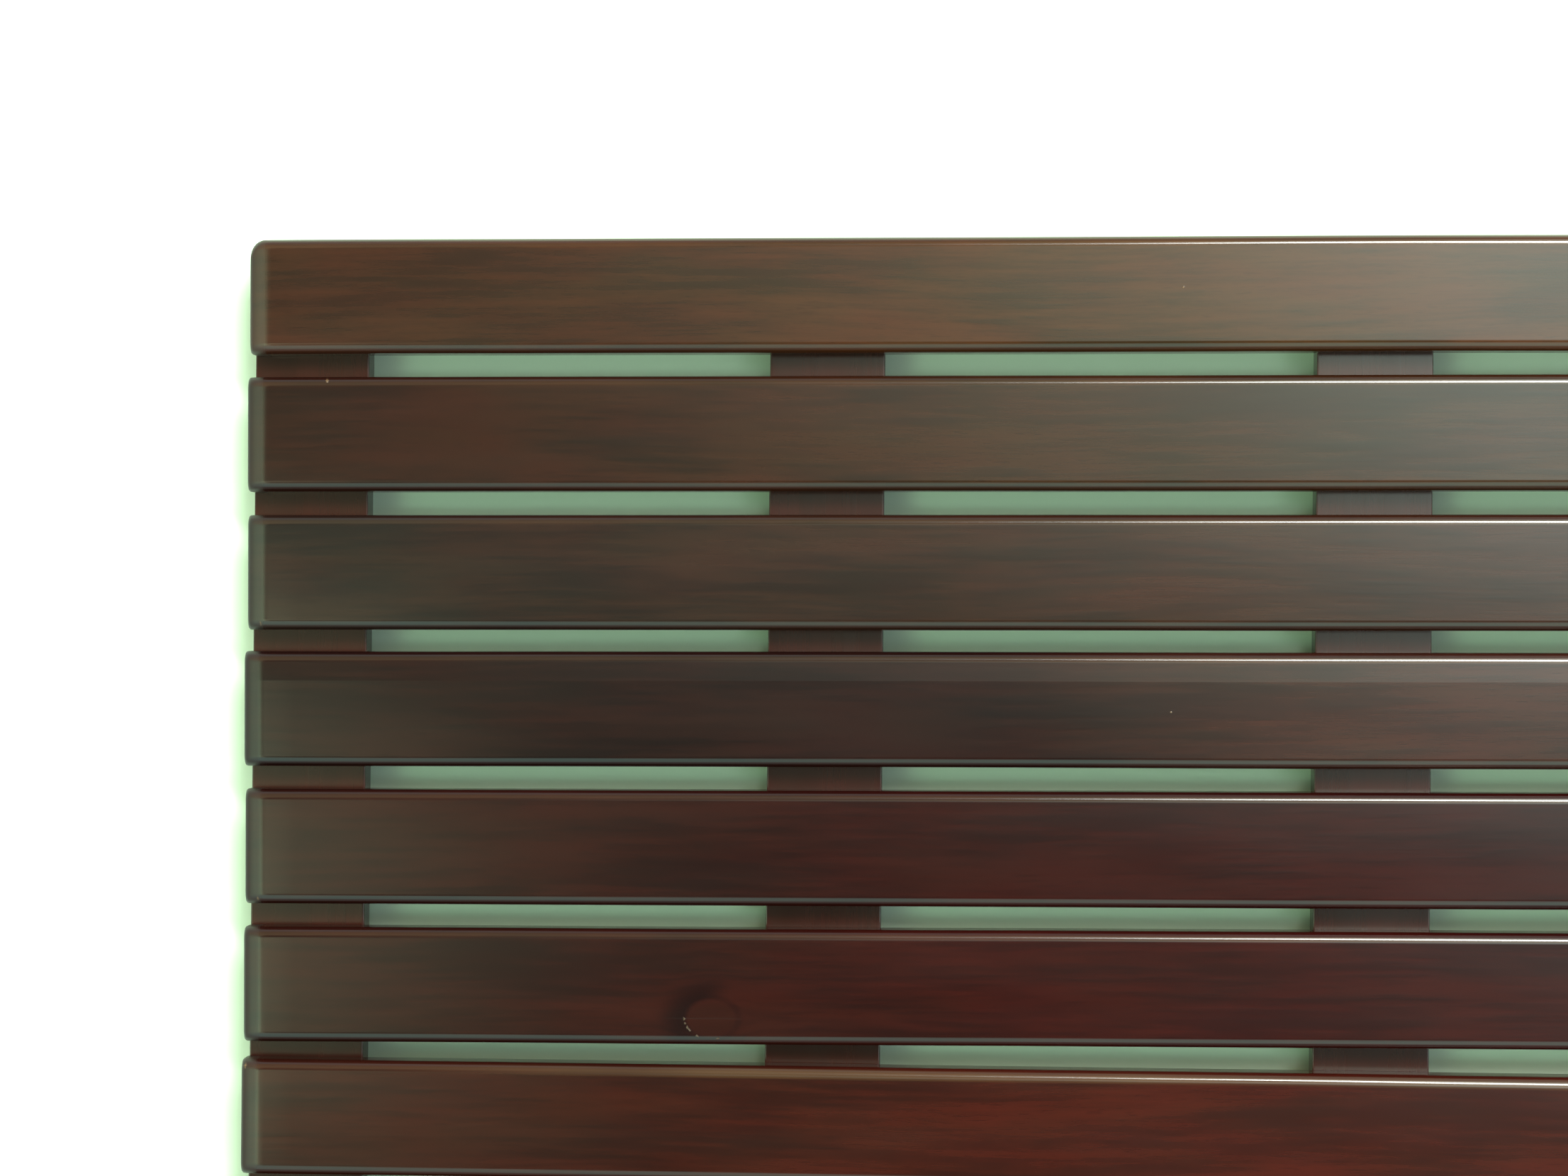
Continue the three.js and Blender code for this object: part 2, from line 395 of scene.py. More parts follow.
def with_holes(tree, size, board, row):
    """Cuts one row of holes from below, each opened out at its mouth for a screw head."""
    count, spacing = size[row + " count"], size[row + " spacing"]
    radius, depth = size[row + " radius"], size[row + " depth"]
    mouth_radius, mouth_depth = size[row + " mouth radius"], size[row + " mouth depth"]
    slope = mouth_radius - radius
    zero = radius * 0.0
    shaft = cone(tree, zero - HOLE_MARGIN, depth, radius, radius)
    mouth = cone(tree, zero - HOLE_MARGIN, mouth_depth, mouth_radius, mouth_radius)
    seat = cone(tree, mouth_depth - HOLE_OVERLAP, mouth_depth + slope, mouth_radius, radius)
    first = (count - 1) * spacing * -0.5
    line = add(tree, "GeometryNodeMeshLine", {"mode": "OFFSET"}, Count=count,
               Start_Location=combine(tree, first), Offset=combine(tree, spacing))
    for cutter in (shaft, mouth, seat):
        placed = add(tree, "GeometryNodeInstanceOnPoints", Points=line, Instance=cutter)
        board = cut(tree, board, add(tree, "GeometryNodeRealizeInstances", Geometry=placed))
    return board

# %% [markdown]
# ## Character and place
# Real boards are never perfectly flat. A slight bow and slow waves are what make a reflection wander along
# a slat, so they are added after the holes are cut. Each point's place in its own board is stored too, so
# that grain and marks follow the board.

# %% Attributes, warp and place
WAVES_PER_METRE = 9.0
SWAYS_PER_METRE = 6.0
CREASE_DEGREES = 38
STAIN_BLEND_END = 0.10


def stored(tree, geometry, name, kind, value):
    settings = {"data_type": kind, "domain": "POINT"}
    return add(tree, "GeometryNodeStoreNamedAttribute", settings, Geometry=geometry, Name=name, Value=value)


def smoothed(tree, geometry, degrees):
    """Shades a mesh smooth except along edges sharper than an angle."""
    soft = add(tree, "GeometryNodeSetShadeSmooth", {"domain": "FACE"}, in_0=geometry, in_2=True)
    angle = add(tree, "GeometryNodeInputMeshEdgeAngle")
    return add(tree, "GeometryNodeSetShadeSmooth", {"domain": "EDGE"},
               in_0=soft, in_1=angle.above(math.radians(degrees)), in_2=False)


def with_character(tree, size, board):
    """Stores each point's place in its board, then crowns, bows and waves the board."""
    place = position(tree)
    board = stored(tree, board, "board", "FLOAT_VECTOR", place)
    board = stored(tree, board, "seed", "FLOAT", size["Seed"])
    along, _, _ = separate(place)
    share = ramp(along / size["Length"], size["Blend start"], STAIN_BLEND_END)
    stain = blend(share, size["Left stain"], size["Right stain"])
    board = stored(tree, board, "stain", "FLOAT_VECTOR", stain)
    for mark in ("Knot", "Chip", "Nick"):
        board = stored(tree, board, mark.lower(), "FLOAT_VECTOR", place - size[mark])
    # The second of these is the strength of a painted highlight along the back edge.
    for mark in ("Planed", "Rubbed"):
        board = stored(tree, board, mark.lower(), "FLOAT", size[mark])

    place = position(tree)
    along, across, height = separate(place)
    upper = height / size["Thickness"]
    long_share = along / (size["Length"] * 0.5)
    wide_share = across / (size["Width"] * 0.5)
    bow = size["Bow"] * (1.0 - long_share * long_share)
    crown = size["Crown"] * (1.0 - wide_share * wide_share)
    where = place + combine(tree, size["Seed"] * 3.1, size["Seed"] * 1.7)
    wave = (noise(tree, where, WAVES_PER_METRE, detail=1.0) - 0.5) * size["Waviness"]
    beside = combine(tree, along, size["Seed"] * 2.3)
    sway = (noise(tree, beside, SWAYS_PER_METRE, detail=1.0) - 0.5) * size["Sway"]
    lift = combine(tree, 0.0, sway, (crown + wave) * upper + bow * upper)
    board = add(tree, "GeometryNodeSetPosition", Geometry=board, Offset=lift)
    return smoothed(tree, board, CREASE_DEGREES)


def board_tree():
    tree, size = tree_with_inputs("Board", BOARD_INPUTS)
    board = board_mesh(tree, size)
    for row in ("Screw", "Pilot"):
        board = with_holes(tree, size, board, row)
    finish_tree(tree, size, with_character(tree, size, board), combine(tree, 0.0, 0.0, size["Turn"]))
    return tree


BOARD_TREE = board_tree()
print("board tree with", len(BOARD_TREE.nodes), "nodes")

# %% [markdown]
# ## Making objects from a tree
# The helper puts a tree on an empty mesh as a modifier, sets the inputs and reads the result as a plain
# mesh. The piece then rides with its body, and the design pieces it stands in for are hidden.

# %% From tree to finished piece
def made_from(tree, name, **inputs):
    """A plain mesh object made by a geometry tree."""
    made = bpy.data.objects.new(name, bpy.data.meshes.new(name))
    bpy.context.scene.collection.objects.link(made)
    modifier = made.modifiers.new("Tree", "NODES")
    modifier.node_group = tree
    sockets = {item.name: item.identifier for item in tree.interface.items_tree if item.in_out == "INPUT"}
    for label, value in inputs.items():
        modifier[sockets[label.replace("_", " ")]] = value
    graph = bpy.context.evaluated_depsgraph_get()
    mesh = bpy.data.meshes.new_from_object(made.evaluated_get(graph), preserve_all_data_layers=True,
                                           depsgraph=graph)
    made.modifiers.clear()
    blank = made.data
    made.data = mesh
    bpy.data.meshes.remove(blank)
    mesh.name = name
    return made


def hand_on(piece, slot, *nodes):
    """Says where a finished piece belongs."""
    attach(piece, "root")
    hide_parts(*nodes)


def hole_row(row, count, spacing, radius, depth, mouth_radius=None, mouth_depth=0.0):
    """One row of holes as inputs for the board tree."""
    sizes = {"count": count, "spacing": spacing, "radius": radius, "depth": depth,
             "mouth_radius": mouth_radius or radius, "mouth_depth": mouth_depth}
    return {f"{row}_{label}": value for label, value in sizes.items()}


print("piece helpers ready")

# %% [markdown]
# ## The eight slats
# These are eight boards of the same wood, but each took the stain in its own way and was screwed down by
# hand. A table holds what makes each one itself. The whole mat has also racked a little, like a gate.

# %% The slats
RACK = math.radians(-0.40)


def racked(place):
    """A place in the mat after the whole mat has leaned over sideways."""
    return Vector((place.x - math.tan(RACK) * place.y, place.y, place.z))


# In each row: the stain at the left and at the right, how far the slat slid along and across, how many
# degrees it turned, its crown and its bow. Lengths are in millimetres.
SLAT_TABLE = {
    1: ((0.0275, 0.0112, 0.0068), (0.0360, 0.0135, 0.0040), 0.1, 0.0, 0.00, 0.10, 0.10),
    2: ((0.0160, 0.0056, 0.0040), (0.0255, 0.0110, 0.0050), -0.3, 0.0, 0.00, 0.05, -0.10),
    3: ((0.0150, 0.0088, 0.0072), (0.0225, 0.0085, 0.0050), 0.2, -0.2, 0.00, 0.10, 0.15),
    4: ((0.0105, 0.0038, 0.0034), (0.0255, 0.0092, 0.0064), -0.6, 0.3, 0.00, 0.05, -0.05),
    5: ((0.0140, 0.0042, 0.0034), (0.0172, 0.0030, 0.0026), 0.2, 0.2, 0.00, 0.10, 0.10),
    6: ((0.0140, 0.0042, 0.0032), (0.0215, 0.0032, 0.0026), 0.1, 0.2, 0.00, 0.05, 0.15),
    7: ((0.0172, 0.0048, 0.0032), (0.0330, 0.0060, 0.0038), -0.4, 0.1, -0.40, 0.10, 0.20),
    8: ((0.0200, 0.0048, 0.0032), (0.0280, 0.0052, 0.0030), 0.3, 0.0, 0.00, 0.10, -0.10),
}
# Marks by slat number: places on the slat, where a planed band begins, how strong the painted highlight
# along the back edge is, and where the right stain begins.
KNOTS = {6: (-0.1345, -0.0108, 0.012)}
PLANED = {4: 0.0100}
EDGE_HIGHLIGHT = {7: 0.70}
BLEND_START = {4: -0.07}
CHIPS = {
    2: (-0.2715, 0.0192, 0.0115),
    3: (-0.2950, -0.0178, 0.0105),
    5: (-0.2950, -0.0180, 0.0105),
    7: (-0.2985, 0.0180, 0.0105),
}
NICKS = {
    1: (0.0280, 0.0020, 0.012),
    2: (-0.2950, -0.0182, 0.011),
    4: (0.0255, -0.0005, 0.012),
}
screw_hole_radius = 2.05 * MM
slat_hole_depth = 8.9 * MM
slats = []
for number, (left_stain, right_stain, slide, shift, turn, crown, bow) in SLAT_TABLE.items():
    node = f"slat_{number}"
    place = racked(middle(node))
    place += Vector((slide, shift, 0.0)) * MM
    place.z = slat_underside
    slat = made_from(
        BOARD_TREE, f"slat_{number}_board",
        Length=slat_length, Width=slat_width, Thickness=slat_thickness,
        Top_radius=slat_edge_radius, Bottom_radius=slat_underside_radius,
        End_run=slat_end_run, End_drop=slat_end_drop, End_arris=slat_end_arris,
        Corner_back=mat_corner_radius if number == 1 else slat_corner_radius,
        Corner_front=mat_corner_radius if number == SLATS else slat_corner_radius,
        Crown=crown * MM, Bow=bow * MM, Waviness=0.25 * MM, Sway=0.5 * MM,
        **hole_row("Screw", 2, outer_spacing, screw_hole_radius, slat_hole_depth),
        **hole_row("Pilot", 2, inner_spacing, screw_hole_radius, slat_hole_depth),
        Knot=KNOTS.get(number, NOWHERE), Planed=PLANED.get(number, NOWHERE[0]),
        Chip=CHIPS.get(number, NOWHERE), Nick=NICKS.get(number, NOWHERE),
        Rubbed=EDGE_HIGHLIGHT.get(number, 0.0), Blend_start=BLEND_START.get(number, -0.50),
        Seed=float(number), Left_stain=left_stain, Right_stain=right_stain,
        Turn=math.radians(turn), Place=tuple(place))
    hand_on(slat, "slat_wood", node)
    slats.append(slat)
print(len(slats), "slats,", len(slats[0].data.polygons), "faces in the first")

# %% [markdown]
# ## The four battens
# Battens carry the slats. They are the same stock laid crossways, each with a countersunk hole under every
# slat. The same tree makes them, turned a quarter round.

# %% The battens
BATTEN_STAIN = (0.0300, 0.0070, 0.0042)
batten_mouth_radius = 3.6 * MM
batten_mouth_depth = 0.9 * MM
pilot_radius = 1.8 * MM
pilot_depth = 10.1 * MM
battens = []
for number in range(1, BATTENS + 1):
    node = f"batten_{number}"
    place = racked(middle(node))
    place.z = batten_underside
    batten = made_from(
        BOARD_TREE, f"batten_{number}_board",
        Length=batten_length, Width=batten_width, Thickness=batten_thickness,
        Top_radius=batten_top_radius, Bottom_radius=batten_edge_radius,
        End_run=batten_edge_radius, End_drop=batten_edge_radius, End_arris=batten_edge_radius,
        Corner_back=batten_corner_radius, Corner_front=batten_corner_radius,
        **hole_row("Screw", SLATS, slat_pitch, screw_hole_radius, batten_thickness + HOLE_MARGIN,
                   batten_mouth_radius, batten_mouth_depth),
        **hole_row("Pilot", len(SIDES), foot_spacing, pilot_radius, pilot_depth),
        Seed=10.0 + number, Left_stain=BATTEN_STAIN, Right_stain=BATTEN_STAIN,
        Turn=math.radians(90) + RACK, Place=tuple(place))
    hand_on(batten, "batten_wood", node)
    battens.append(batten)
print(len(battens), "battens,", len(battens[0].data.polygons), "faces in the first")

# %% [markdown]
# ## Screws
# The screws are turned parts. A lathe in nodes is a grid whose rows are rings. Past the head the radius
# follows a thread formula, because a thread is only a ridge that climbs as it goes round.

# %% A lathe in nodes
LATHE_SIDES = 28
MERGE_TURNED = 0.001 * MM
SCREW_CREASE_DEGREES = 40


def picked(tree, index, values):
    """The value at an index in a list of wires or numbers."""
    node = tree.nodes.new("GeometryNodeIndexSwitch")
    node.data_type = "FLOAT"
    while len(node.index_switch_items) < len(values):
        node.index_switch_items.new()
    join(tree, node.inputs[0], index)
    for place, value in enumerate(values):
        join(tree, node.inputs[1 + place], value)
    return Wire(tree, node.outputs[0])


def lathe_grid(tree, rings, sides):
    """A grid to be bent round into a turned shape, with each point's ring number and angle."""
    grid = add(tree, "GeometryNodeMeshGrid", Vertices_X=rings, Vertices_Y=sides + 1)
    index = add(tree, "GeometryNodeInputIndex")
    ring = (index / (sides + 1)).maths("FLOOR")
    angle = (index - ring * (sides + 1)) * (2 * math.pi / sides)
    return grid, ring, angle


def turned_mesh(tree, grid, radius, height, angle):
    place = combine(tree, radius * angle.maths("COSINE"), radius * angle.maths("SINE"), height)
    bent = add(tree, "GeometryNodeSetPosition", Geometry=grid, Position=place)
    return add(tree, "GeometryNodeMergeByDistance", Geometry=bent, Distance=MERGE_TURNED)

print("lathe ready")

# %% [markdown]
# ### One screw, then a row
# The head is a short list of points, and two tapered blades, crossed, cut the driver's recess. Each screw
# along a row is turned by its own amount, because nobody stops two screws at the same angle.

# %% The screw tree
SCREW_INPUTS = {
    "Length": 0.02, "Shank radius": 0.00175,
    "Head radius": 0.0033, "Head height": 0.0019, "Head rim": 0.0003,
    "Plain neck": 0.004, "Point length": 0.003, "Thread depth": 0.0005, "Pitch": 0.0014,
    "Recess radius": 0.0018, "Recess depth": 0.0014, "Recess slot": 0.0007,
    "Count": 8, "Spacing": 0.05, "Seed": 0, "Rack": 0.0, "Place": (0.0, 0.0, 0.0), "Material": None,
}
THREAD_RINGS = 90
THREAD_RUN_IN = 0.08
POINT_BLUNTNESS = 0.7
HEAD_CHAMFER = 0.12 * MM
RECESS_TAPER = 0.55


def screw_body(tree, size):
    """One screw, point up, with its head's face at z = 0."""
    shank, head = size["Shank radius"], size["Head radius"]
    profile = [
        (0.0, 0.0),
        (head * 0.5, 0.0),
        (head - HEAD_CHAMFER, 0.0),
        (head, HEAD_CHAMFER),
        (head, size["Head rim"]),
        (shank, size["Head height"]),
        (shank, size["Head height"] + size["Plain neck"]),
    ]
    first = len(profile)
    grid, ring, angle = lathe_grid(tree, first + THREAD_RINGS + 1, LATHE_SIDES)
    start = profile[-1][1]
    share = ((ring - (first - 1)) / THREAD_RINGS).clamped()
    climb = start + (size["Length"] - start) * share
    turn = climb / size["Pitch"] - angle / (2 * math.pi)
    tooth = turn.maths("PINGPONG", 0.5) * 2.0
    crest = tooth * tooth * tooth
    root = shank - size["Thread depth"]
    to_tip = ((size["Length"] - climb) / size["Point length"]).clamped()
    run_in = ramp(share, 0.0, THREAD_RUN_IN)
    ridge = root + (shank - root) * (crest * run_in + (1.0 - run_in))
    threaded = ridge * to_tip.maths("POWER", POINT_BLUNTNESS)
    number = ring.maths("MINIMUM", first - 1.0)
    in_thread = ring.above(first - 0.5)
    head_radius = picked(tree, number, [r for r, _ in profile])
    head_height = picked(tree, number, [h for _, h in profile])
    radius = blend(in_thread, head_radius, threaded)
    height = blend(in_thread, head_height, climb)
    return turned_mesh(tree, grid, radius, height, angle)


def cross_recess(tree, size):
    """Two tapered blades, crossed, that cut the driver's recess."""
    blades = []
    for quarter in range(2):
        extent = combine(tree, size["Recess radius"] * 2, size["Recess slot"], size["Recess depth"] * 2)
        box = add(tree, "GeometryNodeMeshCube", Vertices_X=2, Vertices_Y=2, Vertices_Z=2, Size=extent)
        x, y, z = separate(position(tree))
        narrow = 1.0 - z.above(0.0) * RECESS_TAPER
        place = combine(tree, x * narrow, y * narrow, z)
        box = add(tree, "GeometryNodeSetPosition", Geometry=box, Position=place)
        blades.append(add(tree, "GeometryNodeTransform", Geometry=box,
                          Rotation=(0.0, 0.0, quarter * math.pi / 2)))
    return blades


def screw_tree():
    tree, size = tree_with_inputs("Screws", SCREW_INPUTS)
    screw = screw_body(tree, size)
    for blade in cross_recess(tree, size):
        screw = cut(tree, screw, blade)
    screw = smoothed(tree, screw, SCREW_CREASE_DEGREES)
    first = (size["Count"] - 1) * size["Spacing"] * -0.5
    row = add(tree, "GeometryNodeMeshLine", {"mode": "OFFSET"}, Count=size["Count"],
              Start_Location=combine(tree, 0.0, first), Offset=combine(tree, 0.0, size["Spacing"]))
    x, y, z = separate(position(tree))
    leaned = combine(tree, x - y * size["Rack"], y, z)
    row = add(tree, "GeometryNodeSetPosition", Geometry=row, Position=leaned)
    spin = add(tree, "FunctionNodeRandomValue", {"data_type": "FLOAT"}, output=1,
               in_2=0.0, in_3=2 * math.pi, in_8=size["Seed"])
    placed = add(tree, "GeometryNodeInstanceOnPoints", Points=row, Instance=screw,
                 Rotation=combine(tree, 0.0, 0.0, spin))
    finish_tree(tree, size, placed)
    return tree


SCREW_TREE = screw_tree()
print("screw tree with", len(SCREW_TREE.nodes), "nodes")

# %% [markdown]
# ### Two sizes of screw
# Long screws hold the slats and short ones hold the feet. Each row stands in for the design's screws at the
# same places, and takes their length from a box.

# %% The screws in the battens and the feet
def screw_row(name, nodes, spacing, seed, **sizes):
    """A row of screws that stands in for these design pieces."""
    low, high = low_high(nodes[0])
    ends = [middle(node) for node in nodes]
    place = sum(ends, Vector()) / len(ends)
    place.z = low.z
    row = made_from(SCREW_TREE, name, Length=high.z - low.z, Count=len(nodes), Spacing=spacing,
                    Seed=seed, Rack=math.tan(RACK), Place=tuple(place), **sizes)
    hand_on(row, "screw_steel", *nodes)
    return row


SLAT_SCREW = {
    "Shank_radius": 1.75 * MM, "Head_radius": 3.3 * MM, "Head_height": 1.9 * MM,
    "Head_rim": 0.3 * MM, "Plain_neck": 3.6 * MM, "Point_length": 3.0 * MM,
    "Recess_radius": 1.7 * MM, "Recess_depth": 1.3 * MM, "Recess_slot": 0.75 * MM,
}
FOOT_SCREW = {
    "Shank_radius": 1.5 * MM, "Head_radius": 2.8 * MM, "Head_height": 1.5 * MM,
    "Head_rim": 0.25 * MM, "Plain_neck": 1.2 * MM, "Point_length": 2.5 * MM,
    "Recess_radius": 1.4 * MM, "Recess_depth": 1.0 * MM, "Recess_slot": 0.65 * MM,
}
screws = []
for number in range(1, BATTENS + 1):
    nodes = [f"slat_screw_{number}_{slat}" for slat in range(1, SLATS + 1)]
    row = screw_row(f"batten_{number}_slat_screws", nodes, slat_pitch, number, **SLAT_SCREW)
    screws.append(row)
    nodes = [f"foot_screw_{number}_{side}" for side in SIDES]
    row = screw_row(f"batten_{number}_foot_screws", nodes, foot_spacing, 20 + number, **FOOT_SCREW)
    screws.append(row)
print(len(screws), "rows of screws,", len(screws[0].data.polygons), "faces in the first")

# %% [markdown]
# ## Feet
# Each foot is a moulded rubber disc with a screw through its middle and small rings on its sole that grip a
# wet floor. It is turned like the screws, but its outline is a closed loop, so the shape is a ring.

# %% The foot tree
FOOT_INPUTS = {
    "Radius": 0.009, "Height": 0.0035, "Edge": 0.0008, "Hole radius": 0.0018,
    "Mouth radius": 0.0031, "Mouth depth": 0.0014, "Seat depth": 0.0026,
    "Ring depth": 0.00035, "Place": (0.0, 0.0, 0.0), "Material": None,
}
FOOT_SIDES = 64
SOLE_RINGS = 3
ROUND_STEPS = 5
FOOT_CREASE_DEGREES = 35
GROOVE_WIDTH = 0.55 * MM
MOUTH_CHAMFER = 0.15 * MM
TOP_CHAMFER = 0.3 * MM


def foot_profile(size):
    """The closed outline of half a foot, as radius and height, from the hole round to the hole again."""
    radius, height, edge = size["Radius"], size["Height"], size["Edge"]
    profile = [
        (size["Hole radius"], height),
        (size["Hole radius"], size["Seat depth"]),
        (size["Mouth radius"], size["Mouth depth"]),
        (size["Mouth radius"], MOUTH_CHAMFER),
        (size["Mouth radius"] + MOUTH_CHAMFER, 0.0),
    ]
    for ring in range(SOLE_RINGS):
        start = size["Mouth radius"] + (0.85 + 1.55 * ring) * MM
        profile += [
            (start, 0.0),
            (start + GROOVE_WIDTH * 0.3, size["Ring depth"]),
            (start + GROOVE_WIDTH * 0.7, size["Ring depth"]),
            (start + GROOVE_WIDTH, 0.0),
        ]
    for step in range(ROUND_STEPS + 1):
        turn = math.pi / 2 * step / ROUND_STEPS
        profile.append((radius - edge * (1 - math.sin(turn)), edge * (1 - math.cos(turn))))
    profile += [(radius, height - TOP_CHAMFER), (radius - TOP_CHAMFER, height), profile[0]]
    return profile


def foot_tree():
    tree, size = tree_with_inputs("Foot", FOOT_INPUTS)
    profile = foot_profile(size)
    grid, ring, angle = lathe_grid(tree, len(profile), FOOT_SIDES)
    radius = picked(tree, ring, [r for r, _ in profile])
    height = picked(tree, ring, [h for _, h in profile])
    turned = turned_mesh(tree, grid, radius, height, angle)
    finish_tree(tree, size, smoothed(tree, turned, FOOT_CREASE_DEGREES))
    return tree


FOOT_TREE = foot_tree()
feet = []
for number in range(1, BATTENS + 1):
    for side in SIDES:
        node = f"foot_{number}_{side}"
        place = racked(middle(node))
        place.z = foot_low.z
        foot = made_from(FOOT_TREE, f"foot_{number}_{side}_pad",
                         Height=foot_height, Place=tuple(place))
        hand_on(foot, "foot_rubber", node)
        feet.append(foot)
print(len(feet), "feet,", len(feet[0].data.polygons), "faces in the first")

# %% [markdown]
# ## Stained and lacquered wood
# The wood was stained dark before it was lacquered, so its own colour is deep and low in contrast, and most
# of what the eye sees is light mirrored in the satin film. The board's own coordinates carry it all.

# %% Shader helpers
def new_material(name, **principled):
    """A material with one Principled shader, its plain values set on its own sockets."""
    material = bpy.data.materials.new(name)
    material.use_nodes = True
    tree = material.node_tree
    tree.nodes.clear()
    shader = add(tree, "ShaderNodeBsdfPrincipled", **principled)
    output = tree.nodes.new("ShaderNodeOutputMaterial")
    tree.links.new(shader.socket, output.inputs["Surface"])
    return material, tree, shader.socket.node


def attribute(tree, name, output="Fac"):
    return add(tree, "ShaderNodeAttribute", {"attribute_name": name}, output=output)


def mix(tree, factor, first, second):
    """A colour between two colours."""
    return add(tree, "ShaderNodeMix", {"data_type": "RGBA"}, output=2,
               in_0=factor, in_6=first, in_7=second)


def colour(red, green, blue):
    return (red, green, blue, 1.0)


def tinted(paint, red, green, blue):
    """A colour with each of its three parts made stronger or weaker."""
    return paint.maths("MULTIPLY", (red, green, blue))


def wear(pieces, material):
    """Gives pieces their finish in place of what they had."""
    for piece in pieces:
        piece.data.materials.clear()
        piece.data.materials.append(material)


print("shader helpers ready")

# %% [markdown]
# ### Figure
# Saw along a trunk and its rings become long thin streaks. Noise read at a stretched place is drawn out in
# the same way. Several sizes of it share one place that swerves along the board and opens out round a knot.

# %% The figure of a board
def streaks(tree, place, along, across, detail=2.0, roughness=0.5):
    """Noise drawn out along a board, with this many swings in a metre along it and across it."""
    return noise(tree, place.maths("MULTIPLY", (along, across, across)), 1.0, detail, roughness)


def board_figure(tree, board, knot):
    """The noises of one board by name, and the place they were read at."""
    along, across, height = separate(board)
    _, knot_across, _ = separate(knot)
    seed = attribute(tree, "seed")
    offset = combine(tree, seed * 0.37, seed * 0.19, seed * 0.11)
    place = board + offset
    swirl = fade(knot.maths("LENGTH"), 4.0 * MM, 22.0 * MM)
    side_step = knot_across.maths("SIGN") * swirl * -3.5 * MM
    drift = (streaks(tree, place, 5.0, 14.0, detail=1.0) - 0.5) * 9.0 * MM
    grain = combine(tree, along, across + drift + side_step, height) + offset
    return {
        "place": place,
        "broad": streaks(tree, grain, 9.0, 70.0, detail=3.0),
        "bands": streaks(tree, grain, 22.0, 380.0, detail=3.0, roughness=0.6),
        "fibres": streaks(tree, grain, 110.0, 1300.0, roughness=0.6),
        "cloud": streaks(tree, place, 12.0, 30.0),
        "hue": streaks(tree, place + 3.0, 16.0, 60.0),
        "rub": streaks(tree, place, 12.0, 60.0, detail=3.0),
    }


print("figure ready")

# %% [markdown]
# ### Stain
# Stain sinks deeper where the wood is open, so the pores are dark. It also gathers at the worn edges and in
# the end grain, and the ends carry a green tint that is a painted reflection of the pale floor.

# %% The stain
def stain_paint(tree, stain, figure, contrast):
    """The stain's colour, streaked by the grain."""
    coarse = figure["broad"] * 0.35 + figure["bands"] * 0.30
    streak = coarse + figure["cloud"] * 0.20 + figure["fibres"] * 0.15
    light = ramp(streak, 0.40, 0.60)
    pores = ramp(figure["fibres"], 0.56, 0.70)
    deep, pale = tinted(stain, 0.62, 0.74, 0.82), tinted(stain, 1.42, 1.22, 1.08)
    paint = mix(tree, (light - 0.5) * contrast + 0.5, deep, pale)
    redder, greener = tinted(paint, 1.05, 0.95, 0.97), tinted(paint, 0.96, 1.05, 1.04)
    paint = mix(tree, ramp(figure["hue"], 0.35, 0.65), redder, greener)
    return mix(tree, pores * 0.45 * contrast, paint, tinted(stain, 0.5, 0.5, 0.6))


def edge_stain_and_end_reflection(tree, paint, stain, to_side, to_end):
    """The stain gathered at the long edges and the ends, with a green tint at the ends that is a painted
    reflection of the floor.
    """
    edge = fade(to_side, 0.3 * MM, 3.0 * MM)
    end = fade(to_end, 1.0 * MM, 6.0 * MM)
    paint = mix(tree, edge * 0.55, paint, tinted(stain, 1.05, 0.60, 0.55))
    # The green tint at the ends is a painted reflection of the floor over darker end grain.
    return mix(tree, end * 0.45, paint, tinted(stain, 0.75, 1.00, 0.80))


print("stain ready")

# %% [markdown]
# ### Marks
# One board has a tan band along its back edge, a painted highlight. One has a knot, a round of redder wood
# in a thin dark ring, darker in a crescent on one side, with pale glints along the ring that are painted
# highlights. A few have chips and nicks that show bare wood.

# %% The marks
KNOT_LONG, KNOT_WIDE = 9.5 * MM, 7.2 * MM
# A tan colour painted along one slat's back edge as a painted highlight.
HIGHLIGHT_TAN = colour(0.058, 0.027, 0.012)
# Pale wood for chips and nicks, also used for the painted highlights along the knot's ring.
BARE_WOOD_AND_GLINT = colour(0.16, 0.090, 0.045)


def highlight_share(tree, along_share, from_back, hue):
    """How strong the tan band painted along the back edge is, a painted highlight."""
    strip = ramp(from_back, 0.5 * MM, 1.2 * MM) * fade(from_back, 3.6 * MM, 4.6 * MM)
    strip = strip * ramp(along_share, -0.46, -0.20) * attribute(tree, "rubbed")
    return strip * ramp(hue, 0.30, 0.70, 0.5, 1.0)


def knot_paint(tree, paint, stain, knot, oval, off_ring):
    """The knot. The oval is 1 on its ring, and off_ring says how far away the ring is."""
    along, across, _ = separate(knot)
    rim = fade(off_ring, 0.03, 0.22)
    inside = fade(oval, 0.60, 1.0)
    # A dark crescent on one side of the ring.
    darker_side = ramp(across * 0.6 - along, -3.0 * MM, 9.0 * MM)
    halo = ramp(oval, 0.85, 1.10) * fade(oval, 1.15, 2.30) * darker_side
    dark = tinted(stain, 0.30, 0.38, 0.60)
    paint = mix(tree, halo * 0.80, paint, dark)
    paint = mix(tree, inside * 0.55, paint, tinted(stain, 1.05, 1.10, 0.95))
    return mix(tree, rim * 0.30, paint, dark)


